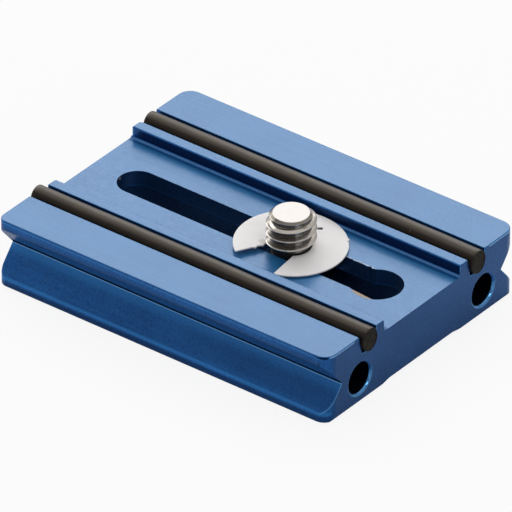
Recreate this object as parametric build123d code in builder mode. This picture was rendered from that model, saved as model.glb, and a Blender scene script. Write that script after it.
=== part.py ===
from build123d import *
from math import cos, radians, sin, tan
import os

os.makedirs("parts", exist_ok=True)

# Tripod quick release plate, lying on its underside.
# +X runs along the slot to the keyhole end, +Y across the plate, +Z up. Millimetres.
# The origin is the middle of the underside.

# Plate outline
plate_length = 51.3
plate_width = 38.0
plate_height = 9.7
corner_radius = 1.8         # upright corners, seen from above
foot_round = 0.3            # rounded edge all round the underside
top_round = 0.15            # softened edge all round the top
end_chamfer = 0.42          # lower edge of each end face

# Dovetail sides
flange_edge = 1.35          # upright face of the top flange
foot_edge = 1.3             # upright face below the dovetail
notch_depth = 2.96          # how far the V groove runs in from the side
notch_height = 4.8          # its root, above the underside

# Screw channel along the top, with a lip on each side
channel_width = 15.3
channel_depth = 1.64
ramp_width = 0.65           # shallow ramp at the foot of each lip
ramp_height = 0.19
lip_thickness = 1.53

# Cord grooves, wider at the mouth than at the floor
groove_width = 3.45
groove_floor = 2.3
groove_depth = 2.58
groove_round = 0.18         # rounded mouth edges

# Cords, squeezed a little taller than wide
cord_stand = 0.6            # stands above the top face
cord_overhang = 0.45        # stands out of each end
cord_flat = 0.05            # pressed flat where it lies on the groove floor
cord_gap = 0.1              # to each groove wall

# Screw slot through the channel floor, and the recess below it
slot_width = 5.2
web_thickness = 2.18        # metal between the channel floor and the recess
end_wall = 1.3              # metal left between the recess and each end face

# Shallow relief along the underside
relief_width = 15.6
relief_ramp = 1.3
relief_depth = 0.27

# Bores along the plate, one under each cord
bore_diameter = 4.2
bore_height = 3.65          # axis above the underside
bore_wall = 1.54            # metal between the bore and the V groove's root
bore_chamfer = 0.25

# Camera screw, 1/4 inch with 20 threads to the inch
thread_diameter = 6.35
thread_reach = 3.6          # tip above the top face
tip_chamfer = 0.8
head_diameter = 10.8
head_recess = 1.6           # head's face above the underside
head_chamfer = 0.4
coin_slot_width = 1.6
coin_slot_depth = 1.5
screw_place = 5.4           # where it stands along the slot
screw_float = 0.7           # how far it can rise before its head meets the web

# Retaining washer, an open clip that snaps round the screw's neck
washer_thickness = 0.25
washer_lift = 0.3           # grips the neck this far above the ramps
washer_mouth = 33.6         # angle between the mouth's two edges, degrees
washer_slit = 1.7           # how far the mouth's wedge runs past the hole
washer_turn = 79.4          # direction from the mouth to the slit, degrees from +X

# Clearances
neck_clearance = 0.1        # neck to slot wall
running_clearance = 0.08    # neck to washer hole
keyhole_clearance = 0.195   # thread to keyhole
head_clearance = 0.3        # head to recess wall
washer_clearance = 0.05     # washer to the thread above it
washer_side_gap = 0.5       # washer to each lip

# Levels and places that follow
half_length = plate_length / 2
half_width = plate_width / 2
floor_z = plate_height - channel_depth
web_z = floor_z - web_thickness
groove_z = plate_height - groove_depth
flange_z = plate_height - flange_edge
notch_y = half_width - notch_depth
lip_y = channel_width / 2
groove_in = lip_y + lip_thickness
groove_y = groove_in + groove_width / 2
groove_out = groove_in + groove_width
bore_y = notch_y - bore_wall - bore_diameter / 2

recess_width = head_diameter + 2 * head_clearance
slot_reach = half_length - end_wall - recess_width / 2
keyhole_diameter = thread_diameter + 2 * keyhole_clearance

cord_half_height = (groove_depth + cord_stand + cord_flat) / 2
cord_z = plate_height + cord_stand - cord_half_height
groove_lean = (groove_width - groove_floor) / 2 / groove_depth
cord_half_width = groove_floor / 2 + groove_lean * (cord_z - groove_z) - cord_gap

neck_diameter = slot_width - 2 * neck_clearance
washer_hole = neck_diameter + 2 * running_clearance
washer_diameter = channel_width - 2 * washer_side_gap
ramp_at_rim = ramp_height * max(0, ramp_width - washer_side_gap) / ramp_width
washer_z = floor_z + ramp_at_rim + washer_lift
washer_top = washer_z + washer_thickness
thread_z = washer_top + washer_clearance
tip_z = plate_height + thread_reach
head_top = web_z - screw_float

# Outer bounds of the plate: a block with upright corners and softened edges
with BuildPart() as block:
    with BuildSketch(Plane.XY) as plan:
        RectangleRounded(plate_length, plate_width, corner_radius)
    extrude(amount=plate_height)
    fillet(block.faces().sort_by(Axis.Z)[0].edges(), foot_round)
    fillet(block.faces().sort_by(Axis.Z)[-1].edges(), top_round)
    with BuildSketch(Plane.XZ.offset(-half_width)) as end_corners:
        for end in (-1, 1):
            with BuildLine():
                Polyline(
                    (end * half_length, 0),
                    (end * (half_length - end_chamfer), 0),
                    (end * half_length, end_chamfer),
                    close=True,
                )
            make_face()
    extrude(amount=plate_width, mode=Mode.SUBTRACT)

# Plate: one bar of a single section, inside those bounds
with BuildPart() as plate_body:
    with BuildSketch(Plane.YZ.offset(-half_length)) as section:
        with BuildLine() as outline:
            Polyline(
                (0, 0),
                (half_width, 0),
                (half_width, foot_edge),
                (notch_y, notch_height),
                (half_width, flange_z),
                (half_width, plate_height),
                (groove_out, plate_height),
                (groove_y + groove_floor / 2, groove_z),
                (groove_y - groove_floor / 2, groove_z),
                (groove_in, plate_height),
                (lip_y, plate_height),
                (lip_y, floor_z + ramp_height),
                (lip_y - ramp_width, floor_z),
                (0, floor_z),
            )
            mirror(about=Plane.YZ)
        make_face()
        top_corners = section.vertices().group_by(Axis.Z)[-1]
        fillet(top_corners.sort_by(Axis.Y)[1:-1], groove_round)
    extrude(amount=plate_length)
    add(block.part, mode=Mode.INTERSECT)

    # Relief along the underside
    with BuildSketch(Plane.YZ.offset(-half_length)) as relief:
        with BuildLine():
            Polyline(
                (-relief_width / 2, 0),
                (-relief_width / 2 + relief_ramp, relief_depth),
                (relief_width / 2 - relief_ramp, relief_depth),
                (relief_width / 2, 0),
                close=True,
            )
        make_face()
    extrude(amount=plate_length, mode=Mode.SUBTRACT)

    # Slot with a keyhole at its +X end, where the thread passes
    with BuildSketch(Plane.XY.offset(floor_z)) as slot:
        SlotCenterToCenter(2 * slot_reach, slot_width)
        with Locations((slot_reach, 0)):
            Circle(keyhole_diameter / 2)
    extrude(amount=-web_thickness, mode=Mode.SUBTRACT)

    # Recess for the screw's head
    with BuildSketch(Plane.XY) as recess:
        SlotCenterToCenter(2 * slot_reach, recess_width)
    extrude(amount=web_z, mode=Mode.SUBTRACT)

    # Two bores from end to end
    with BuildSketch(Plane.YZ.offset(-half_length)) as bores:
        with Locations((-bore_y, bore_height), (bore_y, bore_height)):
            Circle(bore_diameter / 2)
    extrude(amount=plate_length, mode=Mode.SUBTRACT)
    ends = plate_body.faces().filter_by(Axis.X).sort_by(Axis.X)
    mouths = ends[0].inner_wires().edges() + ends[-1].inner_wires().edges()
    chamfer(mouths, bore_chamfer)
plate_body.part.label = "plate_body"
export_step(plate_body.part, "parts/plate_body.step")


def cord_solid(side):
    # One rubber cord, lying on its groove's floor and standing out of both ends
    with BuildPart() as cord:
        with BuildSketch(Plane.YZ.offset(-half_length - cord_overhang)) as end:
            with Locations((side * groove_y, cord_z)):
                Ellipse(cord_half_width, cord_half_height)
            with Locations((side * groove_y, groove_z)):
                Rectangle(2 * cord_half_width, cord_half_height,
                          align=(Align.CENTER, Align.MAX), mode=Mode.SUBTRACT)
        extrude(amount=plate_length + 2 * cord_overhang)
    return cord


near_cord = cord_solid(-1)
near_cord.part.label = "near_cord"
export_step(near_cord.part, "parts/near_cord.step")

far_cord = cord_solid(1)
far_cord.part.label = "far_cord"
export_step(far_cord.part, "parts/far_cord.step")

# Camera screw: head below the web, neck through slot and washer, thread above.
# The thread is a plain cylinder of its outer diameter.
screw_axis = Axis((screw_place, 0, 0), (0, 0, 1))
screw_side = Plane(origin=(screw_place, 0, 0), x_dir=(1, 0, 0), z_dir=(0, -1, 0))
with BuildPart() as camera_screw:
    with BuildSketch(screw_side) as half:
        with BuildLine():
            Polyline(
                (0, head_recess),
                (head_diameter / 2 - head_chamfer, head_recess),
                (head_diameter / 2, head_recess + head_chamfer),
                (head_diameter / 2, head_top),
                (neck_diameter / 2, head_top),
                (neck_diameter / 2, thread_z),
                (thread_diameter / 2, thread_z),
                (thread_diameter / 2, tip_z - tip_chamfer),
                (thread_diameter / 2 - tip_chamfer, tip_z),
                (0, tip_z),
                close=True,
            )
        make_face()
    revolve(axis=screw_axis)
    with BuildSketch(Plane.XY.offset(head_recess)) as coin_slot:
        with Locations((screw_place, 0)):
            Rectangle(coin_slot_width, head_diameter)
    extrude(amount=coin_slot_depth, mode=Mode.SUBTRACT)
camera_screw.part.label = "camera_screw"
export_step(camera_screw.part, "parts/camera_screw.step")

# Washer: a flat disc with a round hole and a wedge-shaped mouth.
# The wedge narrows through the hole and ends in a short slit on its far side.
wedge_point = washer_hole / 2 + washer_slit
wedge_reach = wedge_point + washer_diameter / 2
wedge_half = wedge_reach * tan(radians(washer_mouth / 2))
along = (cos(radians(washer_turn)), sin(radians(washer_turn)))


def washer_point(forward, left):
    # A point of the wedge, measured along its direction and to the left of it
    return (screw_place + forward * along[0] - left * along[1], forward * along[1] + left * along[0])


with BuildPart() as retaining_washer:
    with BuildSketch(Plane.XY.offset(washer_z)) as disc:
        with Locations((screw_place, 0)):
            Circle(washer_diameter / 2)
            Circle(washer_hole / 2, mode=Mode.SUBTRACT)
        with BuildLine():
            Polyline(
                washer_point(wedge_point, 0),
                washer_point(-washer_diameter / 2, wedge_half),
                washer_point(-washer_diameter / 2, -wedge_half),
                close=True,
            )
        make_face(mode=Mode.SUBTRACT)
    extrude(amount=washer_thickness)
retaining_washer.part.label = "retaining_washer"
export_step(retaining_washer.part, "parts/retaining_washer.step")
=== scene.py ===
import bmesh
import bpy
from math import atan2, cos, degrees, pi, radians, sin, tan
from mathutils import Matrix, Vector, noise


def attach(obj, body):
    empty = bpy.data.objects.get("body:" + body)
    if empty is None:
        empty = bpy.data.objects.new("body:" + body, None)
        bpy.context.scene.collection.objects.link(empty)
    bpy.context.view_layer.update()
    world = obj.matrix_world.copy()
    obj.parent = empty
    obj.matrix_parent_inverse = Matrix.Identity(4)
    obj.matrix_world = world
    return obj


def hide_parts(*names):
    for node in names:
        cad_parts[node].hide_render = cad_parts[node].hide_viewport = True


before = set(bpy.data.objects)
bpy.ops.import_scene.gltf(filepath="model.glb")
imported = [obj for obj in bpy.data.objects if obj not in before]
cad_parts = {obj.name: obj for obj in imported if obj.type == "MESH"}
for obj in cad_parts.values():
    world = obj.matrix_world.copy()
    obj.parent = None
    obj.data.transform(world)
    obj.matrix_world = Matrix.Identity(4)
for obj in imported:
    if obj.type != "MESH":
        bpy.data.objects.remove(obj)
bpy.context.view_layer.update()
scene = bpy.context.scene
scene.view_settings.view_transform = "Standard"

mm = 0.001  # pieces are modelled in millimetres, then scaled to metres
tiny = 0.0005  # millimetres, for merging doubles
xAxis, zAxis = Vector((1, 0, 0)), Vector((0, 0, 1))
places = {"screwX": 5.4, "boreY": 12.4, "boreZ": 3.65}  # shared by the pieces and their finishes


# Mesh helpers

def linkMesh(bm, name):
    mesh = bpy.data.meshes.new(name)
    bm.to_mesh(mesh)
    bm.free()
    obj = bpy.data.objects.new(name, mesh)
    scene.collection.objects.link(obj)
    return obj


def settle(obj):  # the modifiers' result becomes the mesh
    graph = bpy.context.evaluated_depsgraph_get()
    shaped = bpy.data.meshes.new_from_object(obj.evaluated_get(graph))
    obj.modifiers.clear()
    obj.data = shaped


def carve(obj, tool, operation="DIFFERENCE"):
    cut = obj.modifiers.new("carve", "BOOLEAN")
    cut.object, cut.operation, cut.solver = tool, operation, "EXACT"
    settle(obj)
    bpy.data.objects.remove(tool)


def closeUp(bm):  # doubles merged, faces turned outwards
    bmesh.ops.remove_doubles(bm, verts=bm.verts, dist=tiny)
    bmesh.ops.recalc_face_normals(bm, faces=bm.faces)


def move(bm, x, y, z):
    bmesh.ops.translate(bm, vec=(x, y, z), verts=bm.verts)


def stretch(bm, x, y, z):
    bmesh.ops.scale(bm, vec=(x, y, z), verts=bm.verts)


def turn(bm, matrix):
    bmesh.ops.rotate(bm, verts=bm.verts, cent=(0, 0, 0), matrix=matrix)


def raiseFace(bm, shift):  # a flat face becomes a solid
    grown = bmesh.ops.extrude_face_region(bm, geom=bm.faces[:])["geom"]
    bmesh.ops.translate(bm, vec=shift, verts=[g for g in grown if isinstance(g, bmesh.types.BMVert)])
    closeUp(bm)


def chain(bm, points, closed=False):
    verts = [bm.verts.new(p) for p in points]
    pairs = list(zip(verts, verts[1:])) + ([(verts[-1], verts[0])] if closed else [])
    for pair in pairs:
        bm.edges.new(pair)
    return verts


def prism(points, shift, name):  # a flat outline, raised
    bm = bmesh.new()
    bm.faces.new(chain(bm, points, closed=True))
    raiseFace(bm, shift)
    return linkMesh(bm, name)


def quarterRound(radius, steps):  # how far a round cuts back from one face and the other
    angles = [radians(90 * step / steps) for step in range(steps + 1)]
    return [(radius * (1 - sin(a)), radius * (1 - cos(a))) for a in angles]


def roundOff(bm, geom, reach, steps, affect="EDGES"):
    bmesh.ops.bevel(bm, geom=geom, offset=reach, offset_type="OFFSET", segments=steps, profile=0.5,
                    affect=affect, material=-1)


def bisect(bm, point, normal, clear=True):  # gives the edges along the cut
    everything = bm.verts[:] + bm.edges[:] + bm.faces[:]
    cut = bmesh.ops.bisect_plane(bm, geom=everything, dist=tiny / 10, plane_co=point, plane_no=normal,
                                 clear_outer=clear)
    return [g for g in cut["geom_cut"] if isinstance(g, bmesh.types.BMEdge)]


def lathe(profile, centre, axis, side, steps):  # profile runs (along, radius) from axis to axis
    bm = bmesh.new()
    chain(bm, [centre + axis * a + side * r for a, r in profile])
    bmesh.ops.spin(bm, geom=bm.verts[:] + bm.edges[:], cent=centre, axis=axis, dvec=(0, 0, 0),
                   angle=2 * pi, steps=steps, use_merge=True)
    closeUp(bm)
    return bm


def longHole(radius, reach, low, high, steps):  # a circle pulled apart, then raised
    bm = bmesh.new()
    bmesh.ops.create_circle(bm, cap_ends=True, radius=radius, segments=steps)
    turn(bm, Matrix.Rotation(pi / steps, 3, "Z"))
    for sign in (-1, 1):
        half = [v for v in bm.verts if v.co.x * sign > 0]
        bmesh.ops.translate(bm, vec=(sign * reach, 0, low), verts=half)
    raiseFace(bm, (0, 0, high - low))
    return bm


def ripple(waves, at):  # each wave: height, pitch and seed
    return sum(height * noise.noise((at * pitch, seed, 0)) for height, pitch, seed in waves)


def evenShading(obj, weight):
    weigh = obj.modifiers.new("shading", "WEIGHTED_NORMAL")
    weigh.mode, weigh.weight, weigh.keep_sharp = "FACE_AREA", weight, True


def inBoxes(spot, boxes):  # each box: x from and to, half its width, z from and to
    return any(xs[0] < spot.x < xs[1] and abs(spot.y) < half and zs[0] < spot.z < zs[1]
               for xs, half, zs in boxes)


def soften(obj, width, segments, angle, crisp=(), dull=()):
    # narrow rounds on the sharp edges, apart from those in the crisp boxes
    bm = bmesh.new()
    bm.from_mesh(obj.data)
    weight = bm.edges.layers.float.new("bevel_weight_edge")
    for edge in bm.edges:
        middle = (edge.verts[0].co + edge.verts[1].co) / 2 / mm
        folded = edge.calc_face_angle(0) > radians(angle)
        stays = inBoxes(middle, crisp)
        edge.smooth = not (folded and stays)
        edge[weight] = 1.0 if folded and not stays else 0.0
    bm.to_mesh(obj.data)
    bm.free()
    bevel = obj.modifiers.new("edges", "BEVEL")
    bevel.width, bevel.segments, bevel.profile = width * mm, segments, 0.5
    bevel.limit_method, bevel.use_clamp_overlap = "WEIGHT", False
    bevel.miter_outer = "MITER_ARC"
    settle(obj)
    rim = obj.data.attributes.new("rim", "FLOAT", "FACE")
    for face in obj.data.polygons:  # the rounds are known by their narrow faces
        corners = [obj.data.vertices[v].co for v in face.vertices]
        longest = max((a - b).length for a, b in zip(corners, corners[1:] + corners[:1]))
        narrow = face.area / longest < width * mm
        rim.data[face.index].value = 1.0 if narrow and not inBoxes(face.center / mm, dull) else 0.0
    evenShading(obj, weight=100)


def finishPiece(obj, body, node, material):
    bm = bmesh.new()
    bm.from_mesh(obj.data)
    bmesh.ops.remove_doubles(bm, verts=bm.verts, dist=tiny)
    stretch(bm, mm, mm, mm)
    for face in bm.faces:
        face.smooth = True
    bm.to_mesh(obj.data)
    bm.free()
    obj.data.materials.clear()
    obj.data.materials.append(material)
    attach(obj, body)
    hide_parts(node)
    print(obj.name, len(obj.data.polygons), "faces before its modifiers")


# Camera, fitted to the photograph's edges

lens = {"azimuth": 37.817, "elevation": 33.2476, "roll": 0.148, "distance": 1687.77, "focalPixels": 13682.6,
        "framePixels": 512, "sensor": 36.0, "asideMm": -0.045, "raisedMm": 3.914, "clip": (0.05, 20.0)}


def cameraAxes():
    a, e, r = (radians(lens[k]) for k in ("azimuth", "elevation", "roll"))
    back = Vector((sin(a) * cos(e), -cos(a) * cos(e), sin(e)))
    right = Vector((cos(a), sin(a), 0))
    up = back.cross(right)
    return cos(r) * right + sin(r) * up, -sin(r) * right + cos(r) * up, back


right, up, back = cameraAxes()
cameraData = bpy.data.cameras.new("camera")
cameraData.sensor_width = lens["sensor"]
cameraData.lens = lens["sensor"] * lens["focalPixels"] / lens["framePixels"]
cameraData.clip_start, cameraData.clip_end = lens["clip"]
camera = bpy.data.objects.new("camera", cameraData)
place = (back * lens["distance"] + right * lens["asideMm"] + up * lens["raisedMm"]) * mm
camera.matrix_world = Matrix.Translation(place) @ Matrix((right, up, back)).transposed().to_4x4()
scene.collection.objects.link(camera)
scene.camera = camera
print("camera placed")


# Soft boxes

lights = {
    "backBox": {"towards": (-0.58, 0.60, 0.55), "distance": 0.9, "size": (1.3, 0.70), "radiance": 1.60},
    "leftBox": {"towards": (-0.92, 0.05, 0.40), "distance": 0.9, "size": (0.60, 0.50), "radiance": 1.4},
    "rightBox": {"towards": (0.845, -0.29, 0.44), "distance": 0.9, "size": (0.14, 0.28), "radiance": 7.5},
}
for name, box in lights.items():
    towards = Vector(box["towards"]).normalized()
    data = bpy.data.lights.new(name, "AREA")
    data.shape = "RECTANGLE"
    data.size, data.size_y = box["size"]
    data.energy = box["radiance"] * pi * box["size"][0] * box["size"][1]
    lamp = bpy.data.objects.new(name, data)
    lamp.matrix_world = (Matrix.Translation(towards * box["distance"])
                         @ towards.to_track_quat("Z", "Y").to_matrix().to_4x4())
    scene.collection.objects.link(lamp)


# Node helpers

spanEdge = 0.03  # how softly a mask's spans start and end


def setInputs(tree, node, inputs):  # sockets are linked, plain values are set
    for key, value in inputs.items():
        if isinstance(value, bpy.types.NodeSocket):
            tree.links.new(value, node.inputs[key])
        else:
            node.inputs[key].default_value = value


def addNode(tree, kind, inputs=None, **settings):
    made = tree.nodes.new(kind)
    for key, value in settings.items():
        setattr(made, key, value)
    setInputs(tree, made, inputs or {})
    return made


def maths(tree, operation, first, *others):  # the others join the first, one after another
    for other in others:
        first = addNode(tree, "ShaderNodeMath", {0: first, 1: other}, operation=operation).outputs[0]
    return first


def sizeOf(tree, value):  # without its sign
    return addNode(tree, "ShaderNodeMath", {0: value}, operation="ABSOLUTE").outputs[0]


def without(tree, mask):  # 1 where the mask is 0
    return maths(tree, "SUBTRACT", 1.0, mask)


def vectorMaths(tree, operation, *vectors):  # output 0 is a vector, output Value a number
    return addNode(tree, "ShaderNodeVectorMath", dict(enumerate(vectors)), operation=operation).outputs


def components(tree, vector):
    return addNode(tree, "ShaderNodeSeparateXYZ", {"Vector": vector}).outputs


def surfaceNormal(tree):
    return components(tree, addNode(tree, "ShaderNodeNewGeometry").outputs["Normal"])


def noiseAt(tree, vector, scale, detail, roughness=0.5):
    made = addNode(tree, "ShaderNodeTexNoise", {"Vector": vector, "Scale": scale, "Detail": detail,
                                                "Roughness": roughness})
    return made.outputs["Fac"]


def fade(tree, value, low, high, start=0.0, end=1.0):  # smooth step from start to end
    made = addNode(tree, "ShaderNodeMapRange",
                   {"Value": value, "From Min": low, "From Max": high, "To Min": start, "To Max": end},
                   interpolation_type="SMOOTHSTEP")
    return made.outputs["Result"]


def between(tree, share, first, second):  # first where the share is 0, second where it is 1
    return fade(tree, share, 0.0, 1.0, first, second)


def blendColour(tree, share, first, second):
    return addNode(tree, "ShaderNodeMix", {0: share, 6: first, 7: second}, data_type="RGBA").outputs[2]


def bumped(tree, height, strength, depth):
    made = addNode(tree, "ShaderNodeBump", {"Strength": strength, "Distance": depth, "Height": height})
    return made.outputs["Normal"]


def maskOf(tree, measures, spans=(), ramps=(), strength=1.0):
    # 1 inside all the spans, times the level that each ramp gives, times the strength
    mask = strength
    for key, low, high in spans:
        mask = maths(tree, "MULTIPLY", mask, fade(tree, measures[key], low - spanEdge, low + spanEdge),
                     fade(tree, measures[key], high - spanEdge, high + spanEdge, 1.0, 0.0))
    for key, low, high, start, end in ramps:
        mask = maths(tree, "MULTIPLY", mask, fade(tree, measures[key], low, high, start, end))
    return mask


def openMaterial(name):
    material = bpy.data.materials.new(name)
    material.use_nodes = True
    tree = material.node_tree
    coords = addNode(tree, "ShaderNodeTexCoord").outputs["Object"]
    place = addNode(tree, "ShaderNodeMapping", {"Vector": coords, "Scale": (1 / mm, 1 / mm, 1 / mm)})
    return material, tree, tree.nodes["Principled BSDF"], place.outputs["Vector"]  # place is in millimetres


def openGroup(name, inputs, outputs):
    group = bpy.data.node_groups.new(name, "ShaderNodeTree")
    for label, kind in inputs.items():
        group.interface.new_socket(name=label, in_out="INPUT", socket_type=kind)
    for label in outputs:
        group.interface.new_socket(name=label, in_out="OUTPUT", socket_type="NodeSocketFloat")
    return group, group.nodes.new("NodeGroupInput").outputs, group.nodes.new("NodeGroupOutput")


def useGroup(tree, group, **inputs):
    return addNode(tree, "ShaderNodeGroup", inputs, node_tree=group).outputs


# Blasted grain, and faint marks that run along the piece
grainLayers = {"Fine": (1.0, 3.0, 0.6), "Broad": (0.04, 2.0, 0.6)}  # share of the scale, detail, roughness
streakLayer = (1.0, 3.0, 0.55)  # scale, detail, roughness
surfaceGrain, entry, leave = openGroup(
    "surfaceGrain",
    {"Vector": "NodeSocketVector", "Grain": "NodeSocketFloat", "Along": "NodeSocketVector"},
    ["Fine", "Broad", "Streak"])
for label, (share, detail, roughness) in grainLayers.items():
    scale = maths(surfaceGrain, "MULTIPLY", entry["Grain"], share)
    setInputs(surfaceGrain, leave, {label: noiseAt(surfaceGrain, entry["Vector"], scale, detail, roughness)})
drawn = vectorMaths(surfaceGrain, "MULTIPLY", entry["Vector"], entry["Along"])[0]
setInputs(surfaceGrain, leave, {"Streak": noiseAt(surfaceGrain, drawn, *streakLayer)})


def grainTone(tree, grain, shares):  # the grain's layers, added in these shares
    return maths(tree, "ADD", 0.0, *(maths(tree, "MULTIPLY", grain[layer], share)
                                     for layer, share in shares.items()))


# Sparse dots of uneven size
dotShape = {"spread": 0.7, "least": 0.5, "solidTo": 0.5, "guard": 0.01}
specks, entry, leave = openGroup(
    "specks",
    {"Vector": "NodeSocketVector", "Density": "NodeSocketFloat", "Share": "NodeSocketFloat",
     "Size": "NodeSocketFloat"}, ["Mask"])
cells = addNode(specks, "ShaderNodeTexVoronoi",
                {"Vector": entry["Vector"], "Scale": entry["Density"]}).outputs
draw = addNode(specks, "ShaderNodeSeparateColor", {"Color": cells["Color"]}).outputs
chosen = maths(specks, "LESS_THAN", draw[0], entry["Share"])
swell = maths(specks, "ADD", maths(specks, "MULTIPLY", draw[1], dotShape["spread"]), dotShape["least"])
reach = maths(specks, "ADD", maths(specks, "MULTIPLY", swell, entry["Size"]), dotShape["guard"])
dot = fade(specks, maths(specks, "DIVIDE", cells["Distance"], reach), dotShape["solidTo"], 1.0, 1.0, 0.0)
setInputs(specks, leave, {"Mask": maths(specks, "MULTIPLY", dot, chosen)})

# A ragged patch round one place
patchShape = {"frayScale": 5.0, "frayDetail": 3.0, "frayMiddle": 0.5, "edge": (0.8, 1.05)}
wornPatch, entry, leave = openGroup(
    "wornPatch",
    {"Vector": "NodeSocketVector", "Centre": "NodeSocketVector", "Reach": "NodeSocketVector",
     "Ragged": "NodeSocketFloat"}, ["Mask"])
away = vectorMaths(wornPatch, "SUBTRACT", entry["Vector"], entry["Centre"])[0]
far = vectorMaths(wornPatch, "LENGTH", vectorMaths(wornPatch, "DIVIDE", away, entry["Reach"])[0])["Value"]
fray = noiseAt(wornPatch, entry["Vector"], patchShape["frayScale"], patchShape["frayDetail"])
fray = maths(wornPatch, "SUBTRACT", fray, patchShape["frayMiddle"])
far = maths(wornPatch, "ADD", far, maths(wornPatch, "MULTIPLY", fray, entry["Ragged"]))
setInputs(wornPatch, leave, {"Mask": fade(wornPatch, far, *patchShape["edge"], 1.0, 0.0)})


# World: a pale band at the horizon, dim above it, brighter overhead

sky = {"horizon": 0.95, "dim": 0.41, "overhead": 0.92, "band": (0.03, 0.14), "brightest": (0.10, 0.15, 0.98),
       "brightFrom": 0.2}
world = bpy.data.worlds.new("studio")
world.use_nodes = True
scene.world = world
tree = world.node_tree
facing = addNode(tree, "ShaderNodeTexCoord").outputs["Generated"]
low = fade(tree, components(tree, facing)["Z"], *sky["band"], sky["horizon"], sky["dim"])
towards = vectorMaths(tree, "DOT_PRODUCT", facing, sky["brightest"])["Value"]
high = fade(tree, towards, sky["brightFrom"], 1.0, 0.0, sky["overhead"] - sky["dim"])
setInputs(tree, tree.nodes["Background"], {"Color": (1, 1, 1, 1), "Strength": maths(tree, "ADD", low, high)})


# Floor: pale paper that the camera sees nearly white, dark under the plate

floorPlan = {"reach": 3.0, "below": 0.00002, "colour": (0.72, 0.72, 0.72, 1), "seenWhite": 0.88,
             "mirroredWhite": 0.06, "shadowHalf": (25.0, 18.4), "seenFrom": (-0.8, 0.2),
             "mirroredFrom": (0.0, 4.0)}
bm = bmesh.new()
bmesh.ops.create_grid(bm, x_segments=2, y_segments=2, size=floorPlan["reach"])
move(bm, 0, 0, -floorPlan["below"])
floor = linkMesh(bm, "floor")
material, tree, shader, place = openMaterial("palePaper")
setInputs(tree, shader, {"Base Color": floorPlan["colour"], "Roughness": 1.0, "Specular IOR Level": 0.0})
spot = components(tree, place)
outside = maths(tree, "MAXIMUM", *(maths(tree, "SUBTRACT", sizeOf(tree, spot[axis]), half)
                                   for axis, half in zip("XY", floorPlan["shadowHalf"])))
rays = addNode(tree, "ShaderNodeLightPath").outputs
mirrored = maths(tree, "MULTIPLY", maths(tree, "ADD", rays["Is Glossy Ray"], rays["Is Transmission Ray"]),
                 fade(tree, outside, *floorPlan["mirroredFrom"]), floorPlan["mirroredWhite"])
seen = maths(tree, "MULTIPLY", rays["Is Camera Ray"], fade(tree, outside, *floorPlan["seenFrom"]),
             floorPlan["seenWhite"])
white = addNode(tree, "ShaderNodeEmission", {"Color": (1, 1, 1, 1), "Strength": 1.0}).outputs[0]
paper = addNode(tree, "ShaderNodeMixShader",
                {0: maths(tree, "ADD", seen, mirrored), 1: shader.outputs[0], 2: white}).outputs[0]
setInputs(tree, tree.nodes["Material Output"], {"Surface": paper})
floor.data.materials.append(material)
print("lights, world and floor placed")


# Blue anodised aluminium: tops blasted, sides as drawn, ends sawn and given a darker blue as painted shade

anodising = {
    "topBlue": (0.0200, 0.151, 0.365, 1), "topDeep": (0.0135, 0.120, 0.298, 1),
    "sideBlue": (0.0180, 0.121, 0.370, 1), "sideDeep": (0.011, 0.074, 0.253, 1),
    # the ends' darker copy of the blue is painted shade
    "endBlue": (0.012, 0.078, 0.240, 1), "endDeep": (0.009, 0.060, 0.190, 1),
    # on these three lines the darks are painted shade in hollows and creases, on the bevel and at the feet;
    # the pales are painted highlights on edges
    "paintedShade": (0.0125, 0.052, 0.160, 1), "wall": (0.006, 0.028, 0.095, 1), "foot": (0.006, 0.060, 0.210, 1),
    "bore": (0.001, 0.003, 0.008, 1), "rim": (0.07, 0.235, 0.50, 1), "edge": (0.034, 0.215, 0.58, 1),
    "low": (0.006, 0.040, 0.140, 1), "crease": (0.001, 0.008, 0.03, 1), "ridge": (0.22, 0.47, 0.83, 1),
    "speck": (0.004, 0.012, 0.035, 1), "fleck": (0.42, 0.46, 0.50, 1), "bare": (0.36, 0.30, 0.23, 1),
    "topMetal": 0.30, "sideMetal": 0.65, "rimMetal": 0.85, "overhangMetal": 0.55,
    "topRoughness": 0.40, "sideRoughness": 0.30, "rimRoughness": 0.08,
    "roughnessSpread": (0.2, 0.8, -0.05, 0.05),  # grain from and to, and what it adds there
    "topCoat": 1.0, "sideCoat": 0.12, "endCoat": 0.15, "shadedCoat": 0.2,
    "coatSpread": (0.33, 0.67, 0.70, 1.0), "coatRoughness": 0.26, "coatIor": 1.62, "shine": 0.06,
    "grain": {"Grain": 3.4, "Along": (0.05, 3.0, 3.0)}, "bump": (0.26, 0.00002),
    "toneShares": {"Broad": 0.3, "Streak": 0.25, "Fine": 0.45}, "toneSpan": (0.35, 0.65),
    "sawnAndShadedFrom": (0.8, 0.98), "blastedFrom": (0.70, 0.95),
    "specks": {"Density": 1.1, "Share": 0.12, "Size": 0.12}, "speckStrength": (0.55, 0.10),
}
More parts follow.
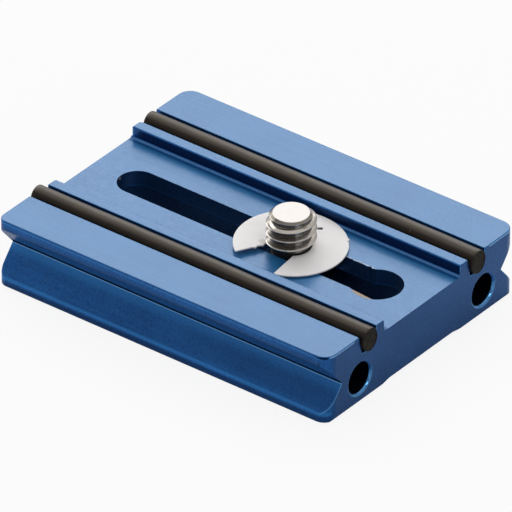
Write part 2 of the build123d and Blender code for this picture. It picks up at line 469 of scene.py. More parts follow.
# Pale and dark lines here copy light and shade in the photograph, not known marks on the metal
plateMarks = {  # places in millimetres; rising and endwards say how a face is turned
    # painted shade in the slot and in the recess below it
    "slot": {"spans": [("along", -1, 22.5), ("aside", -1, 3.5), ("z", 6.02, 7.98)]},
    "recess": {"spans": [("along", -1, 24.5), ("aside", -1, 5.9), ("z", 0.5, 5.84)]},
    # painted shade on the grooves' walls and floors, fading out at the -X end
    "groove": {"spans": [("along", -1, 25.58), ("aside", 7.6, 12.75), ("z", 8.32, 9.50)],
               "ramps": [("x", -25.4, -23.6, 0, 1)]},
    "grooveFloor": {"spans": [("along", -1, 25.6), ("aside", 9.5, 12.8), ("z", 7.0, 8.4)]},
    # painted shade in a thin line along each lip's foot
    "lipFoot": {"ramps": [("aside", 6.60, 7.10, 0, 1), ("aside", 7.32, 7.44, 1, 0), ("z", 8.10, 8.14, 0.8, 0),
                          ("z", 7.90, 8.00, 0, 1)]},
    # painted shade inside the bores
    "bore": {"spans": [("along", -1, 25.36), ("fromBore", -1, 2.16)]},
    "boreMouth": {"spans": [("along", 25.38, 26), ("fromBore", 2.05, 2.42)]},
    # edges that face down get no rim, as the rims' paler colour is a painted highlight
    "notDown": {"ramps": [("rising", -0.15, 0.10, 0, 1)]},
    # painted highlight on the bevel's upper part, more towards its top and -X, and on its lower rounded edge
    "paleBevel": {"spans": [("aside", 15.8, 18.9), ("z", 2.4, 4.9)],
                  "ramps": [("z", 3.4, 4.75, 0, 0.85), ("rising", 0.4, 0.6, 0, 1), ("x", -25, 22, 1, 0.6)]},
    "paleEdge": {"spans": [("aside", 17.9, 19.2), ("z", 1.08, 1.52)], "strength": 0.5},
    # painted shade on the bevel's middle band, growing towards +X
    "deepBevel": {"spans": [("aside", 16.0, 18.9)],
                  "ramps": [("rising", 0.4, 0.6, 0, 1), ("z", 1.5, 2.2, 0, 1), ("z", 3.4, 4.6, 1, 0),
                            ("x", -8, 15, 0, 0.4)]},
    # painted highlight near the flange's top, painted shade towards its lower edge
    "flangeCrown": {"spans": [("aside", 18.85, 19.2), ("z", 9.20, 9.48)], "strength": 0.45},
    "flangeHem": {"spans": [("aside", 18.85, 19.2), ("z", 8.2, 9.75)], "ramps": [("z", 8.35, 8.95, 0.55, 0)]},
    # painted shade under the flange, darkest at the notch's root, where metal, coat and specular are taken
    # away too
    "overhang": {"spans": [("aside", 15.9, 18.9), ("z", 4.78, 8.3)], "ramps": [("rising", -0.4, -0.2, 1, 0)]},
    "notchRoot": {"ramps": [("z", 5.45, 5.95, 1, 0)]},
    # painted shade in a line just under the top edge of the side, near the +X corner
    "cornerLine": {"spans": [("aside", 17.4, 19.2), ("z", 9.34, 9.62)],
                   "ramps": [("x", 23.2, 24.8, 0, 1), ("endwards", 0.72, 0.86, 1, 0)]},
    # painted highlight along the top edge of the +X end near the corner
    "cornerLight": {"spans": [("aside", 13.5, 18.6), ("z", 9.40, 9.62), ("x", 25.0, 26.0)],
                    "ramps": [("endwards", 0.78, 0.9, 0, 0.6)]},
    # painted highlight along the bevel's top edge
    "rootLine": {"spans": [("aside", 15.9, 16.3), ("z", 4.71, 4.86)], "ramps": [("rising", 0.3, 0.5, 0, 1)]},
    # painted shade on the upright foot face
    "footFace": {"spans": [("aside", 17.9, 19.2), ("z", -0.2, 0.86)], "strength": 0.7},
}
plateWear = {  # ragged patches where metal shows
    "ledge": {"Centre": (18.45, -3.02, 7.98), "Reach": (2.3, 0.42, 0.09), "Ragged": 0.25},
    "chip": {"Centre": (-20.9, -0.25, 7.72), "Reach": (0.45, 0.34, 0.30), "Ragged": 0.9},
    "flecks": {"Centre": (14.5, 2.66, 8.02), "Reach": (2.6, 0.14, 0.09), "Ragged": 2.6},
}
platePaint = [  # mark, colour and strength, one over another
    ("paintedShade", "paintedShade", 1), ("groove", "wall", 1), ("lipFoot", "foot", 1), ("bore", "bore", 1),
    ("rim", "rim", 1), ("pale", "edge", 1), ("deepBevel", "low", 1), ("flangeCrown", "edge", 1),
    ("flangeHem", "paintedShade", 1), ("overhang", "paintedShade", 0.35), ("crease", "crease", 1),
    ("cornerLight", "ridge", 1), ("rootLine", "ridge", 1), ("footFace", "low", 1), ("specks", "speck", 1),
    ("flecks", "fleck", 0.4), ("bare", "bare", 1)]

blueAnodised, tree, shader, place = openMaterial("blueAnodised")
grain = useGroup(tree, surfaceGrain, Vector=place, **anodising["grain"])
tone = fade(tree, grainTone(tree, grain, anodising["toneShares"]), *anodising["toneSpan"])
spot, turned = components(tree, place), surfaceNormal(tree)
along, aside = sizeOf(tree, spot["X"]), sizeOf(tree, spot["Y"])
fromBore = addNode(tree, "ShaderNodeCombineXYZ",
                   {"X": maths(tree, "SUBTRACT", aside, places["boreY"]),
                    "Y": maths(tree, "SUBTRACT", spot["Z"], places["boreZ"])}).outputs[0]
measures = {"x": spot["X"], "z": spot["Z"], "along": along, "aside": aside,
            "fromBore": vectorMaths(tree, "LENGTH", fromBore)["Value"],
            "rising": turned["Z"], "endwards": turned["X"]}
sawnAndShaded = fade(tree, sizeOf(tree, turned["X"]), *anodising["sawnAndShadedFrom"])
blasted = fade(tree, turned["Z"], *anodising["blastedFrom"])

marks = {name: maskOf(tree, measures, **mark) for name, mark in plateMarks.items()}
for name, patch in plateWear.items():
    marks[name] = useGroup(tree, wornPatch, Vector=place, **patch)["Mask"]
dots = useGroup(tree, specks, Vector=place, **anodising["specks"])["Mask"]
marks["specks"] = maths(tree, "MULTIPLY", dots, between(tree, sawnAndShaded, *anodising["speckStrength"]))
marks["groove"] = maths(tree, "MAXIMUM", marks["groove"], marks["grooveFloor"])
# painted shade in the slot, grooves, bores and recess
marks["paintedShade"] = maths(tree, "MAXIMUM", *(marks[name] for name in ("slot", "groove", "bore", "recess")))
# rims: rounded edges and bore mouths, with their own low roughness and high metal, and a paler colour as a
# painted highlight
rim = addNode(tree, "ShaderNodeAttribute", attribute_name="rim").outputs["Fac"]
marks["rim"] = maths(tree, "MULTIPLY", maths(tree, "MAXIMUM", rim, marks["boreMouth"]), marks["notDown"])
marks["pale"] = maths(tree, "MAXIMUM", marks["paleBevel"], marks["paleEdge"])
marks["crease"] = maths(tree, "MAXIMUM", maths(tree, "MULTIPLY", marks["overhang"], marks["notchRoot"]),
                        marks["cornerLine"])
marks["bare"] = maths(tree, "MAXIMUM", marks["ledge"], marks["chip"])

# the ends take a darker copy of the blue, painted shade
tops, sides, ends = (blendColour(tree, tone, anodising[face + "Deep"], anodising[face + "Blue"])
                     for face in ("top", "side", "end"))
colour = blendColour(tree, blasted, blendColour(tree, sawnAndShaded, sides, ends), tops)
for mark, paint, strength in platePaint:
    colour = blendColour(tree, maths(tree, "MULTIPLY", marks[mark], strength), colour, anodising[paint])

dyed = without(tree, marks["bare"])
metal = between(tree, blasted, anodising["sideMetal"], anodising["topMetal"])
metal = between(tree, marks["rim"], metal, anodising["rimMetal"])
metal = maths(tree, "MULTIPLY", metal, between(tree, marks["overhang"], 1.0, anodising["overhangMetal"]),
              without(tree, marks["crease"]), dyed)
gloss = between(tree, blasted, anodising["sideRoughness"], anodising["topRoughness"])
gloss = between(tree, marks["rim"], gloss, anodising["rimRoughness"])
gloss = maths(tree, "ADD", gloss, fade(tree, grain["Fine"], *anodising["roughnessSpread"]))
sheen = between(tree, sawnAndShaded, anodising["sideCoat"], anodising["endCoat"])
sheen = between(tree, blasted, sheen, anodising["topCoat"])
# less coat where shade is painted in hollows, creases and at the lips' foot
coatDimmed = maths(tree, "MAXIMUM", marks["paintedShade"], marks["crease"], marks["lipFoot"])
sheen = maths(tree, "MULTIPLY", sheen, between(tree, coatDimmed, 1.0, anodising["shadedCoat"]),
              fade(tree, grain["Fine"], *anodising["coatSpread"]), dyed)
setInputs(tree, shader, {
    "Base Color": colour, "Metallic": metal, "Roughness": gloss, "Coat Weight": sheen,
    "Coat Roughness": anodising["coatRoughness"], "Coat IOR": anodising["coatIor"],
    "Specular IOR Level": between(tree, marks["crease"], anodising["shine"], 0.0),
    "Normal": bumped(tree, grain["Fine"], *anodising["bump"])})


# Cord rubber: dark and dusty, with a painted sheen that is strongest on top, torn where it is cut

rubber = {
    "dark": (0.0034, 0.0026, 0.0019, 1), "light": (0.0108, 0.0084, 0.0059, 1), "dust": (0.20, 0.18, 0.16, 1),
    "cutDark": (0.0030, 0.0028, 0.0022, 1), "cutLight": (0.021, 0.0185, 0.0140, 1),
    "tint": (1.0, 0.84, 0.71, 1), "grain": {"Grain": 9.0, "Along": (0.12, 6.0, 6.0)}, "bump": (0.18, 0.00003),
    "toneShares": {"Fine": 0.5, "Streak": 0.5}, "toneSpan": (0.35, 0.65),
    "specks": {"Density": 1.3, "Share": 0.12, "Size": 0.10}, "dustStrength": 0.5,
    "cutFrom": (0.5, 0.85), "torn": (3.4, 3.0, 0.65), "tornSpan": (0.38, 0.66),
    "roughness": (0.2, 0.8, 0.31, 0.45),  # grain from and to, and the roughness there
    # specular level by how the face is turned, a painted sheen: strong on top, weaker on the far side and on
    # the cut
    "shine": [("rising", 0.66, 0.88, 0.30, 0.75), ("farwards", 0.0, 0.5, 1.0, 0.62),
              ("cut", 0, 1, 1.0, 0.25)],
}
cordRubber, tree, shader, place = openMaterial("cordRubber")
grain = useGroup(tree, surfaceGrain, Vector=place, **rubber["grain"])
tone = grainTone(tree, grain, rubber["toneShares"])
colour = blendColour(tree, fade(tree, tone, *rubber["toneSpan"]), rubber["dark"], rubber["light"])
dots = useGroup(tree, specks, Vector=place, **rubber["specks"])["Mask"]
colour = blendColour(tree, maths(tree, "MULTIPLY", dots, rubber["dustStrength"]), colour, rubber["dust"])
turned = surfaceNormal(tree)
cutFace = fade(tree, sizeOf(tree, turned["X"]), *rubber["cutFrom"])
torn = fade(tree, noiseAt(tree, place, *rubber["torn"]), *rubber["tornSpan"])
colour = blendColour(tree, cutFace, colour, blendColour(tree, torn, rubber["cutDark"], rubber["cutLight"]))
# painted sheen, set by how the face is turned
shine = maskOf(tree, {"rising": turned["Z"], "farwards": turned["Y"], "cut": cutFace}, ramps=rubber["shine"])
setInputs(tree, shader, {
    "Base Color": colour, "Roughness": fade(tree, grain["Fine"], *rubber["roughness"]),
    "Specular Tint": rubber["tint"], "Specular IOR Level": shine,
    "Normal": bumped(tree, tone, *rubber["bump"])})


# Bright nickel, with grime and painted shade in the thread's roots, painted shade on the neck and a painted
# dark reflection on the band at its tip

nickel = {
    # ring: a painted dark reflection on the band at the tip
    "bright": (0.424, 0.405, 0.389, 1), "film": (0.47, 0.435, 0.39, 1), "ring": (0.14, 0.12, 0.10, 1),
    # the roots' dark is grime and painted shade, the neck's painted shade
    "root": (0.034, 0.027, 0.020, 1), "neck": (0.009, 0.009, 0.010, 1),
    "grain": {"Grain": 6.0, "Along": (2.0, 2.0, 14.0)}, "bump": (0.06, 0.00002), "leastRadius": 0.1,
    "front": (0.306, -0.952, 0), "streak": (0.862, -0.507, 0),  # side whose roots get painted shade, and a pale streak of painted highlight
    "grimeAndShadeSpread": (0.3, 0.7, 0.82, 1.0), "grimeAndShadeMetal": 0.1, "grimeAndShadeRoughness": 0.3,
    "roughness": (0.3, 0.7, 0.13, 0.24), "shine": 0.25,
}
screwMarks = {  # radius and height in millimetres; front and streak are 1 on that side
    # roots: grime and painted shade at their deepest all round, painted shade over the whole root on the
    # front side, less along the pale streak; the first flank stays bright
    "root": {"ramps": [("radius", 2.98, 3.13, 1, 0), ("height", 12.80, 12.90, 1, 0)]},
    "deepRoot": {"ramps": [("radius", 2.56, 2.72, 0.85, 0.10)]},
    "frontRoot": {"ramps": [("front", 0.25, 0.8, 0, 1)]},
    "firstFlank": {"spans": [("height", 12.06, 12.40), ("radius", 2.46, 3.4)]},
    "paleStreak": {"ramps": [("streak", 0.975, 0.995, 1, 0.45)]},
    # painted dark reflection on the band below the tip's flat, darker on the front
    "ring": {"spans": [("height", 13.03, 13.27), ("radius", 2.33, 2.62)],
             "ramps": [("front", -0.2, 0.9, 0.45, 0.85)]},
    # painted shade on the neck below the thread
    "neck": {"spans": [("height", 5.5, 8.85)]},
    "film": {"spans": [("height", 8.8, 13.2), ("radius", 2.4, 3.08)]},
}
brightNickel, tree, shader, place = openMaterial("brightNickel")
grain = useGroup(tree, surfaceGrain, Vector=place, **nickel["grain"])
across = vectorMaths(tree, "MULTIPLY_ADD", place, (1, 1, 0), (-places["screwX"], 0, 0))[0]
radius = vectorMaths(tree, "LENGTH", across)["Value"]
measures = {"radius": radius, "height": components(tree, place)["Z"]}
for side in ("front", "streak"):
    measures[side] = maths(tree, "DIVIDE", vectorMaths(tree, "DOT_PRODUCT", across, nickel[side])["Value"],
                           maths(tree, "MAXIMUM", radius, nickel["leastRadius"]))
marks = {name: maskOf(tree, measures, **mark) for name, mark in screwMarks.items()}
marks["root"] = maths(tree, "MULTIPLY", marks["root"],
                      maths(tree, "MAXIMUM", marks["deepRoot"], marks["frontRoot"]),
                      without(tree, marks["firstFlank"]), marks["paleStreak"],
                      fade(tree, grain["Fine"], *nickel["grimeAndShadeSpread"]))
colour = nickel["bright"]
for mark in ("film", "ring", "root", "neck"):
    colour = blendColour(tree, marks[mark], colour, nickel[mark])
# grime and painted shade: less metal, rougher
grimeAndShade = maths(tree, "MAXIMUM", marks["root"], marks["neck"])
gloss = maths(tree, "ADD", fade(tree, grain["Streak"], *nickel["roughness"]),
              maths(tree, "MULTIPLY", grimeAndShade, nickel["grimeAndShadeRoughness"]))
setInputs(tree, shader, {
    "Base Color": colour, "Metallic": between(tree, grimeAndShade, 1.0, nickel["grimeAndShadeMetal"]), "Roughness": gloss,
    "Specular IOR Level": nickel["shine"], "Normal": bumped(tree, grain["Streak"], *nickel["bump"])})


# Washer plastic: off-white, stained where its edge is frayed

plastic = {
    "pale": (0.79, 0.765, 0.75, 1), "shade": (0.74, 0.72, 0.715, 1), "fuzz": (0.30, 0.235, 0.16, 1),
    "grain": {"Grain": 6.0, "Along": (1.2, 1.2, 1.2)}, "shadeSpan": (0.3, 0.7), "fuzzStrength": 0.35,
    "frayed": {"Centre": (3.2, -1.9, 8.5), "Reach": (1.5, 0.75, 0.9), "Ragged": 1.1},
    "roughness": (0.2, 0.8, 0.43, 0.53), "bump": (0.05, 0.00002),
    "subsurface": {"Subsurface Weight": 0.35, "Subsurface Radius": (1.0, 0.95, 0.9),
                   "Subsurface Scale": 0.0006},
}
washerPlastic, tree, shader, place = openMaterial("washerPlastic")
grain = useGroup(tree, surfaceGrain, Vector=place, **plastic["grain"])
tone = fade(tree, grain["Broad"], *plastic["shadeSpan"])
colour = blendColour(tree, tone, plastic["shade"], plastic["pale"])
frayed = useGroup(tree, wornPatch, Vector=place, **plastic["frayed"])["Mask"]
colour = blendColour(tree, maths(tree, "MULTIPLY", frayed, plastic["fuzzStrength"]), colour, plastic["fuzz"])
setInputs(tree, shader, {
    "Base Color": colour, "Roughness": fade(tree, grain["Fine"], *plastic["roughness"]),
    "Normal": bumped(tree, grain["Fine"], *plastic["bump"]), **plastic["subsurface"]})
print("materials made")


# Plate: the bar's section is drawn out, its corners and openings are cut from it

plate = {
    "halfLength": 25.65, "halfWidth": 19.0, "top": 9.7, "cornerRadius": 1.8, "tightRadius": 1.2,
    "endChamfer": 0.42, "footRound": 0.30, "topRound": 0.15, "spare": 0.5, "above": 1.0, "ease": 0.004,
    "section": [  # y, z and how far a round reaches along the faces, from the middle outwards
        (0, 0.27, 0), (6.5, 0.27, 0.15), (7.896, -0.02, 0), (19, -0.02, 0), (19, 1.3, 0.42),
        (16.04, 4.8, 0.08), (19, 8.35, 0.12), (19, 9.7, 0), (12.63, 9.7, 0.07), (12.055, 7.12, 0.10),
        (9.755, 7.12, 0.10), (9.18, 9.7, 0.07), (7.65, 9.7, 0.22), (7.65, 8.25, 0.05), (7.36, 8.06, 0.04),
        (0, 8.06, 0)],
    "roundSteps": 4, "cornerSteps": 18, "arcSteps": 96, "boreSteps": 64, "lipSteps": 12,
    "floor": 8.06, "web": 5.88, "slotReach": 18.65, "slotRadius": 2.6, "recessRadius": 5.7,
    "keyholeRadius": 3.37, "burrFrom": (16.5, -2.60), "burrTo": (20.3, -2.92), "burrDrop": 0.07,
    "roughFrom": 11.9, "roughTo": 16.7, "roughSide": 2.5, "roughCuts": 34,
    "roughWaves": [(0.26, 2.4, 3.1), (0.13, 6.5, 7.7)],
    "lipEnds": [(7.65, 1), (9.18, -1)], "lipRound": {1: 0.30, -1: 0.80}, "lipFoot": 8.33,
    "lipRoll": 0.40, "lipMiddle": 8.415, "rollHalf": 1.2,
    "reliefEdge": [(-7.9, 25.23), (-6.5, 24.96), (6.5, 24.96), (7.9, 25.23)], "reliefBelow": 0.1,
    "boreRadius": 2.1, "boreChamfer": 0.25, "edgeRound": 0.10, "edgeSteps": 2, "edgeAngle": 32,
    "crisp": [  # the slot, the lips' -X ends, the floor at the +X end, the ends' lower edges
        ((-22.6, 22.6), 3.7, (5.7, 10)), ((-26, -24.7), 9.9, (7.9, 10)), ((25.3, 26), 7.75, (7.9, 8.5)),
        ((24.8, 26), 20, (-1, 0.9)), ((-26, -24.8), 20, (-1, 0.9))],
    "dull": [  # no bright rims on top, nor inside the bar
        ((-26, 26), 20, (9.3, 10)), ((-25.3, 25.3), 13, (-1, 10))],
}


def plateBar():
    half = plate["halfLength"] + plate["spare"]  # the outer block trims it to length
    bm = bmesh.new()
    chain(bm, [(-half, y, z) for y, z, cut in plate["section"]])
    bmesh.ops.mirror(bm, geom=bm.verts[:] + bm.edges[:], matrix=Matrix(), merge_dist=tiny, axis="Y")
    bmesh.ops.contextual_create(bm, geom=bm.edges[:])
    corners = {}
    for vert in bm.verts:  # corners with the same round are cut together
        for y, z, cut in plate["section"]:
            if cut and abs(abs(vert.co.y) - y) < tiny and abs(vert.co.z - z) < tiny:
                corners.setdefault(cut, []).append(vert)
    for cut, verts in corners.items():
        roundOff(bm, verts, cut, plate["roundSteps"], "VERTICES")
    raiseFace(bm, (2 * half, 0, 0))
    for sign in (-1, 1):  # lower edge of each end
        foot = sign * (plate["halfLength"] - plate["endChamfer"])
        bmesh.ops.edgeloop_fill(bm, edges=bisect(bm, (foot, 0, 0), (sign, 0, -1)))
    closeUp(bm)
    return linkMesh(bm, "plate")


def outerBlock():  # upright corners, and softened edges round the top and the underside
    bm = bmesh.new()
    bmesh.ops.create_grid(bm, x_segments=1, y_segments=1, size=1)
    ease, top = plate["ease"], plate["top"] + plate["ease"]  # so that no faces lie in one plane
    stretch(bm, plate["halfLength"], plate["halfWidth"] + ease, 1)
    tight = [v for v in bm.verts if v.co.x < 0 and v.co.y < 0]
    wide = [v for v in bm.verts if v not in tight]
    for verts, radius in ((wide, plate["cornerRadius"]), (tight, plate["tightRadius"])):
        roundOff(bm, verts, radius, plate["cornerSteps"], "VERTICES")
    raiseFace(bm, (0, 0, top))
    for level, cut in ((0, plate["footRound"]), (top, plate["topRound"])):
        rim = [e for e in bm.edges if all(abs(v.co.z - level) < tiny for v in e.verts)]
        roundOff(bm, rim, cut, plate["roundSteps"])
    closeUp(bm)
    return linkMesh(bm, "outerBlock")


def slotWaste():  # long slot, rough along one stretch of its far edge
    start, stop, side = plate["roughFrom"], plate["roughTo"], plate["roughSide"]
    low, top = plate["web"] - plate["above"], plate["floor"] + plate["above"]
    bm = longHole(plate["slotRadius"], plate["slotReach"], low, top, plate["arcSteps"])
    for x in (start, stop):
        bisect(bm, (x, 0, 0), xAxis, clear=False)
    run = [e for e in bm.edges if abs(e.verts[0].co.x - e.verts[1].co.x) > 1
           and all(v.co.y > side and start - tiny < v.co.x < stop + tiny for v in e.verts)]
    bmesh.ops.subdivide_edges(bm, edges=run, cuts=plate["roughCuts"], use_grid_fill=False)
    for vert in bm.verts:
        if vert.co.y > side and vert.co.z > top - tiny and start + tiny < vert.co.x < stop - tiny:
            vert.co.y += ripple(plate["roughWaves"], vert.co.x)
    bmesh.ops.triangulate(bm, faces=bm.faces)
    closeUp(bm)
    return linkMesh(bm, "slotWaste")


def keyholeWaste(low, burr):  # round end of the slot; the burr leaves a ledge on its near side
    bm = bmesh.new()
    bmesh.ops.create_circle(bm, cap_ends=True, radius=plate["keyholeRadius"], segments=plate["arcSteps"])
    move(bm, plate["slotReach"], 0, low)
    if burr:
        start, end = Vector(plate["burrFrom"]), Vector(plate["burrTo"])
        run = end - start
        bisect(bm, (start.x, start.y, 0), (run.y, -run.x, 0))
    raiseFace(bm, (0, 0, plate["floor"] + plate["above"] - low))
    return linkMesh(bm, "keyholeWaste")


def boreWaste(side):  # flared at both mouths
    mouth, flare = plate["halfLength"], plate["above"]
    straight, radius = mouth - plate["boreChamfer"], plate["boreRadius"]
    wide = radius + plate["boreChamfer"] + flare
    bm = lathe([(-mouth - flare, 0), (-mouth - flare, wide), (-straight, radius), (straight, radius),
                (mouth + flare, wide), (mouth + flare, 0)],
               Vector((0, side * places["boreY"], places["boreZ"])), xAxis, zAxis, plate["boreSteps"])
    return linkMesh(bm, "boreWaste")


def lipEndWaste(y, inward):  # what rounds one corner of a lip at the -X end
    end, radius, spare = -plate["halfLength"], plate["lipRound"][inward], plate["spare"]
    plan = [(end + u, y + inward * v) for u, v in quarterRound(radius, plate["lipSteps"])]
    plan += [(end - spare, y + inward * radius), (end - spare, y - inward * spare),
             (end + radius, y - inward * spare)]
    return prism([(px, py, plate["lipFoot"]) for px, py in plan],
                 (0, 0, plate["above"] + plate["top"] - plate["lipFoot"]), "lipEndWaste")


def lipRollWaste(side):  # what rounds a lip over at its -X end
    end, top, radius, spare = -plate["halfLength"], plate["top"], plate["lipRoll"], plate["spare"]
    outline = [(end + u, top - v) for u, v in quarterRound(radius, plate["lipSteps"])]
    outline += [(end - spare, top - radius), (end - spare, top + spare), (end + radius, top + spare)]
    start = side * plate["lipMiddle"] - plate["rollHalf"]
    return prism([(px, start, pz) for px, pz in outline], (0, 2 * plate["rollHalf"], 0), "lipRollWaste")


def reliefEndWaste(sign):  # the lower edge of each end follows the relief
    bm = bmesh.new()
    outer, low = plate["halfLength"] + plate["spare"], -plate["reliefBelow"]
    rings = []
    for y, foot in plate["reliefEdge"]:
        corners = [(sign * (foot + low), y, low), (sign * outer, y, low), (sign * outer, y, outer - foot)]
        rings.append(chain(bm, corners, closed=True))
    bm.faces.new(rings[0])
    bm.faces.new(rings[-1])
    for first, second in zip(rings, rings[1:]):
        for k in range(len(first)):
            bm.faces.new((first[k], first[k - 1], second[k - 1], second[k]))
    closeUp(bm)
    return linkMesh(bm, "reliefEndWaste")


plateObj = plateBar()
carve(plateObj, outerBlock(), "INTERSECT")
carve(plateObj, linkMesh(longHole(plate["recessRadius"], plate["slotReach"], -plate["above"], plate["web"],
                                  plate["arcSteps"]), "recessWaste"))
carve(plateObj, slotWaste())
carve(plateObj, keyholeWaste(plate["web"] - plate["above"], True))
carve(plateObj, keyholeWaste(plate["floor"] - plate["burrDrop"], False))
for side in (-1, 1):
    carve(plateObj, boreWaste(side))
    carve(plateObj, reliefEndWaste(side))
    carve(plateObj, lipRollWaste(side))
    for y, inward in plate["lipEnds"]:
        carve(plateObj, lipEndWaste(side * y, side * inward))
finishPiece(plateObj, "plate", "plate_body", blueAnodised)
soften(plateObj, plate["edgeRound"], plate["edgeSteps"], plate["edgeAngle"], plate["crisp"], plate["dull"])


# Cords: round rubber, a little flat below, not quite straight

cord = {
    "halfWidth": 1.399, "halfHeight": 1.615, "centreZ": 8.685, "floorZ": 7.12, "sideY": 10.905, "reach": 26.1,
    "shortBy": {"near_cord": 0.22, "far_cord": 0.72}, "divisions": 90, "around": 44, "endFacing": 0.999,
    "cutRound": 0.18, "cutSteps": 3, "cutRings": (0.12, 0.28, 0.35),
    "sway": 0.05, "swayPitch": 0.14, "lift": 0.03, "liftPitch": 0.2, "liftSeed": 5,
    "dimple": 0.012, "dimplePitch": 1.3, "dimpledTo": 24, "dimpledFade": 2,
    "dent": 0.05, "dentPitch": 2.2, "slant": 0.10, "slantMiddle": 0.5, "slantRise": 0.3,
}


def endFaces(bm):
    return [f for f in bm.faces if abs(f.normal.x) > cord["endFacing"]]


def cordPiece(name, side, seed):
    low, high = cord["shortBy"][name] - cord["reach"], cord["reach"]
    bm = bmesh.new()
    bmesh.ops.create_circle(bm, cap_ends=True, radius=1.0, segments=cord["around"])
    stretch(bm, cord["halfWidth"], cord["halfHeight"], 1)
    turn(bm, Matrix(((0, 0, 1), (1, 0, 0), (0, 1, 0))))  # upright, facing along X
    move(bm, low, side * cord["sideY"], cord["centreZ"])
    raiseFace(bm, (high - low, 0, 0))
    roundOff(bm, [e for f in endFaces(bm) for e in f.edges], cord["cutRound"], cord["cutSteps"])
    ends = endFaces(bm)
    for width in cord["cutRings"]:  # rings that let the cut face be uneven
        bmesh.ops.inset_region(bm, faces=ends, thickness=width, use_even_offset=True)
    long = [e for e in bm.edges if abs(e.verts[0].co.x - e.verts[1].co.x) > cord["reach"]]
    bmesh.ops.subdivide_edges(bm, edges=long, cuts=cord["divisions"], use_grid_fill=True)
    for vert in bm.verts:
        x = vert.co.x
        inner = 1 - min(1, max(0, (abs(x) - cord["dimpledTo"]) / cord["dimpledFade"]))
        vert.co.y += cord["sway"] * noise.noise((x * cord["swayPitch"], seed, 0))
        vert.co.z += cord["lift"] * noise.noise((x * cord["liftPitch"], seed, cord["liftSeed"]))
        pitch = cord["dimplePitch"]
        vert.co.z += cord["dimple"] * noise.noise((x * pitch, vert.co.y * pitch, seed)) * inner
        if x < low + tiny or x > high - tiny:  # the knife leaves an uneven, leaning cut
            pitch = cord["dentPitch"]
            dent = cord["dent"] * (1 + noise.noise((vert.co.y * pitch, vert.co.z * pitch, seed + x)))
            raised = vert.co.z - cord["centreZ"]
            lean = cord["slant"] * (cord["slantMiddle"] + cord["slantRise"] * raised)
            vert.co.x -= (dent + max(0, lean)) * (1 if x > 0 else -1)
        vert.co.z = max(vert.co.z, cord["floorZ"])
    closeUp(bm)
    obj = linkMesh(bm, name)
    finishPiece(obj, "plate", name, cordRubber)
    evenShading(obj, weight=50)


cordPiece("near_cord", -1, 1.7)
cordPiece("far_cord", 1, 8.3)


# Camera screw: a true right-hand thread on a neck and a coin-slot head

screw = {
    "x": places["screwX"], "pitch": 1.27, "crest": 3.165, "root": 2.45, "crestFront": 12.1, "front": -52.183,
    "ridgeFoot": 0.36, "crestFlat": 0.045, "crestRound": 0.03, "turns": 6, "turnsAbove": 2, "turnSteps": 72,
    "tip": 13.3, "tipRadius": 2.30, "tipEase": 0.04, "pointLength": 0.96, "outer": 3.3, "spare": 0.3,
    "threadEnd": 8.80, "leadIn": 0.45, "leadInset": 0.03,
    "collar": 2.62, "collarDepths": (0.55, 0.40, 0.28, 0.034), "collarInset": 0.06,
    "neck": 2.5, "neckEase": 0.2, "neckStop": 0.02, "neckLap": 0.1, "neckInset": 0.08,
    "headTop": 5.18, "headFace": 1.6, "headRadius": 5.4, "headChamfer": 0.4, "headEase": 0.25,
    "coinWidth": 1.6, "coinDepth": 1.5, "latheSteps": 96, "sharpAngle": 38,
}


def threadSolid():
    # one pitch of the thread, from root to root, with a rounded crest
    pitch, root, crest = screw["pitch"], screw["root"], screw["crest"]
    foot, flat, ease = screw["ridgeFoot"], screw["crestFlat"], screw["crestRound"]
    rise = [(-pitch / 2, root), (-foot - ease, root), (-foot + ease, root + ease),
            (-flat - ease, crest - ease), (-flat, crest)]
    shape = rise + [(-z, r) for z, r in reversed(rise)]
    turns, steps = screw["turns"], screw["turnSteps"]
    low = screw["crestFront"] - pitch * (turns - screw["turnsAbove"])
    turned = Vector((cos(radians(screw["front"])), sin(radians(screw["front"])), 0))
    bm = bmesh.new()
    chain(bm, [Vector((screw["x"], 0, low + z)) + turned * r for z, r in shape])
    bmesh.ops.spin(bm, geom=bm.verts[:] + bm.edges[:], cent=(screw["x"], 0, 0), axis=zAxis,
                   dvec=(0, 0, pitch / steps), angle=2 * pi * turns, steps=steps * turns)
    bmesh.ops.remove_doubles(bm, verts=bm.verts, dist=tiny * 4)
    for level, way in ((screw["threadEnd"] - screw["spare"], -1), (screw["tip"] + screw["spare"], 1)):
        bmesh.ops.edgeloop_fill(bm, edges=bisect(bm, (0, 0, level), (0, 0, way)))
    bmesh.ops.recalc_face_normals(bm, faces=bm.faces)
    return linkMesh(bm, "camera_screw")


def screwLathe(profile, name):
    return linkMesh(lathe(profile, Vector((screw["x"], 0, 0)), zAxis, xAxis, screw["latheSteps"]), name)


def envelope():  # what the thread is turned down to at its tip and its lower end
    tip, point, ease = screw["tip"], screw["tipRadius"], screw["tipEase"]
    end, outer = screw["threadEnd"], screw["outer"]
    return screwLathe([(end, 0), (end, screw["neck"] - screw["leadInset"]), (end + screw["leadIn"], outer),
                       (tip - screw["pointLength"], outer), (tip - ease, point + ease), (tip, point),
                       (tip, 0)], "envelope")


def collar():  # a plain band at the tip, which the thread runs out into
    tip, point, wide = screw["tip"], screw["tipRadius"], screw["collar"]
    foot, lower, upper, edge = (tip - depth for depth in screw["collarDepths"])
    return screwLathe([(foot, 0), (foot, screw["root"] - screw["collarInset"]), (lower, wide), (upper, wide),
                       (edge, point + screw["tipEase"]), (tip, point), (tip, 0)], "collar")


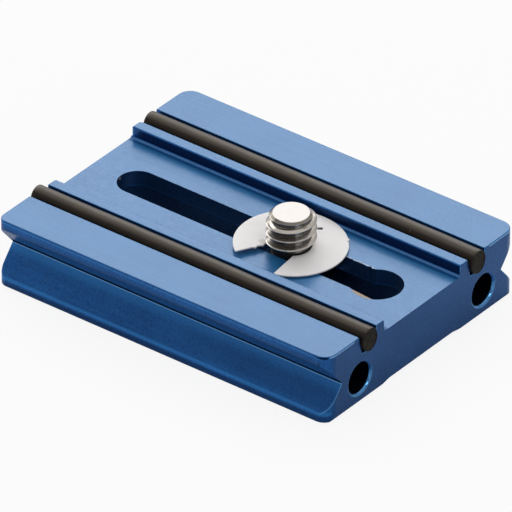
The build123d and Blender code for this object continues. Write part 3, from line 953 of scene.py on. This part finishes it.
def shank():  # head and neck
    face, top, wide = screw["headFace"], screw["headTop"], screw["headRadius"]
    chamfer, ease, fillet = screw["headChamfer"], screw["headEase"], screw["neckEase"]
    neck, end = screw["neck"], screw["threadEnd"]
    lap = end + screw["neckLap"]
    return screwLathe([(face, 0), (face, wide - chamfer), (face + chamfer, wide), (top - ease, wide),
                       (top, wide - ease), (top, neck + fillet), (top + fillet, neck),
                       (end - screw["neckStop"], neck), (lap, neck - screw["neckInset"]), (lap, 0)], "shank")


def coinWaste():
    bm = bmesh.new()
    bmesh.ops.create_cube(bm, size=1)
    stretch(bm, screw["coinWidth"], 3 * screw["headRadius"], 2 * screw["coinDepth"])
    move(bm, screw["x"], 0, screw["headFace"])
    return linkMesh(bm, "coinWaste")


screwObj = threadSolid()
carve(screwObj, envelope(), "INTERSECT")
carve(screwObj, collar(), "UNION")
carve(screwObj, shank(), "UNION")
carve(screwObj, coinWaste())
finishPiece(screwObj, "screw", "camera_screw", brightNickel)
screwObj.data.set_sharp_from_angle(angle=radians(screw["sharpAngle"]))
evenShading(screwObj, weight=50)


# Washer: an open plastic clip, tipped a little on the screw's neck

washer = {
    "x": places["screwX"], "discX": 5.22, "discY": 0.17, "radius": 7.15, "thickness": 0.22, "hole": 2.58,
    "middleZ": 8.44, "tip": 1.89, "turn": 79.4,
    "mouthHalf": 16.8, "mouthSpare": 1.5, "mouthWiden": 0.3, "mouthCuts": 90,
    "point": 4.28, "pointWiden": 1.0, "slit": (6.03, 4.97), "slitSize": (0.66, 0.52), "slitTurn": 37.8,
    "frayFrom": -4.1, "frayTo": -1.9, "fray": 0.42, "frayWaves": [(1.0, 3.1, 1.3), (0.7, 7.5, 9.4)],
    "frayLeast": -0.15, "nicks": [(46.5, 1.7, 0.17), (42.6, 1.4, -0.26), (38.2, 1.2, -0.12)],
    "rimSteps": 360, "holeSteps": 72, "toolLow": -1, "toolHeight": 3, "toolDepth": 4,
    "edgeRound": 0.05, "edgeSteps": 2, "edgeAngle": 40,
}


def washerDisc():  # with a burr and two nicks on its rim
    bm = bmesh.new()
    bmesh.ops.create_circle(bm, cap_ends=True, radius=washer["radius"], segments=washer["rimSteps"])
    for vert in bm.verts:
        bearing = degrees(atan2(vert.co.y, vert.co.x))
        for middle, half, depth in washer["nicks"]:
            vert.co.xy *= 1 + depth / washer["radius"] * max(0, 1 - abs(bearing - middle) / half)
    move(bm, washer["discX"], washer["discY"], 0)
    raiseFace(bm, (0, 0, washer["thickness"]))
    return linkMesh(bm, "retaining_washer")


def holeWaste():
    bm = bmesh.new()
    bmesh.ops.create_cone(bm, cap_ends=True, segments=washer["holeSteps"], radius1=washer["hole"],
                          radius2=washer["hole"], depth=washer["toolDepth"])
    move(bm, washer["x"], 0, 0)
    return linkMesh(bm, "holeWaste")


def mouthWaste():  # a wedge whose left edge is frayed near the screw
    point, widen, low = washer["point"], washer["mouthWiden"], washer["toolLow"]
    reach, slope = point + washer["radius"] + washer["mouthSpare"], tan(radians(washer["mouthHalf"]))
    short = washer["pointWiden"]
    plan = [(point, 0), (point - reach, reach * slope), (point - reach, -reach * slope - widen),
            (point - short, -short * slope - widen)]
    bm = bmesh.new()
    verts = chain(bm, [(forward, left, low) for forward, left in plan], closed=True)
    bm.faces.new(verts)
    leftEdge = [e for e in bm.edges if verts[0] in e.verts and verts[1] in e.verts]
    bmesh.ops.subdivide_edges(bm, edges=leftEdge, cuts=washer["mouthCuts"])
    for vert in bm.verts:
        if vert.co.y > tiny and washer["frayFrom"] < vert.co.x < washer["frayTo"]:
            vert.co.y -= washer["fray"] * max(washer["frayLeast"], ripple(washer["frayWaves"], vert.co.x))
    raiseFace(bm, (0, 0, washer["toolHeight"]))
    turn(bm, Matrix.Rotation(radians(washer["turn"]), 3, "Z"))
    move(bm, washer["x"], 0, 0)
    return linkMesh(bm, "mouthWaste")


def slitWaste():
    bm = bmesh.new()
    bmesh.ops.create_cube(bm, size=1)
    stretch(bm, *washer["slitSize"], washer["toolDepth"])
    turn(bm, Matrix.Rotation(radians(washer["slitTurn"]), 3, "Z"))
    move(bm, *washer["slit"], 0)
    return linkMesh(bm, "slitWaste")


washerObj = washerDisc()
carve(washerObj, holeWaste())
carve(washerObj, mouthWaste())
carve(washerObj, slitWaste())
tipped = (Matrix.Translation((washer["discX"], 0, washer["middleZ"]))
          @ Matrix.Rotation(radians(washer["tip"]), 4, "Y") @ Matrix.Translation((-washer["discX"], 0, 0)))
washerObj.data.transform(tipped)
finishPiece(washerObj, "carriage", "retaining_washer", washerPlastic)
soften(washerObj, washer["edgeRound"], washer["edgeSteps"], washer["edgeAngle"])
print("pieces made")
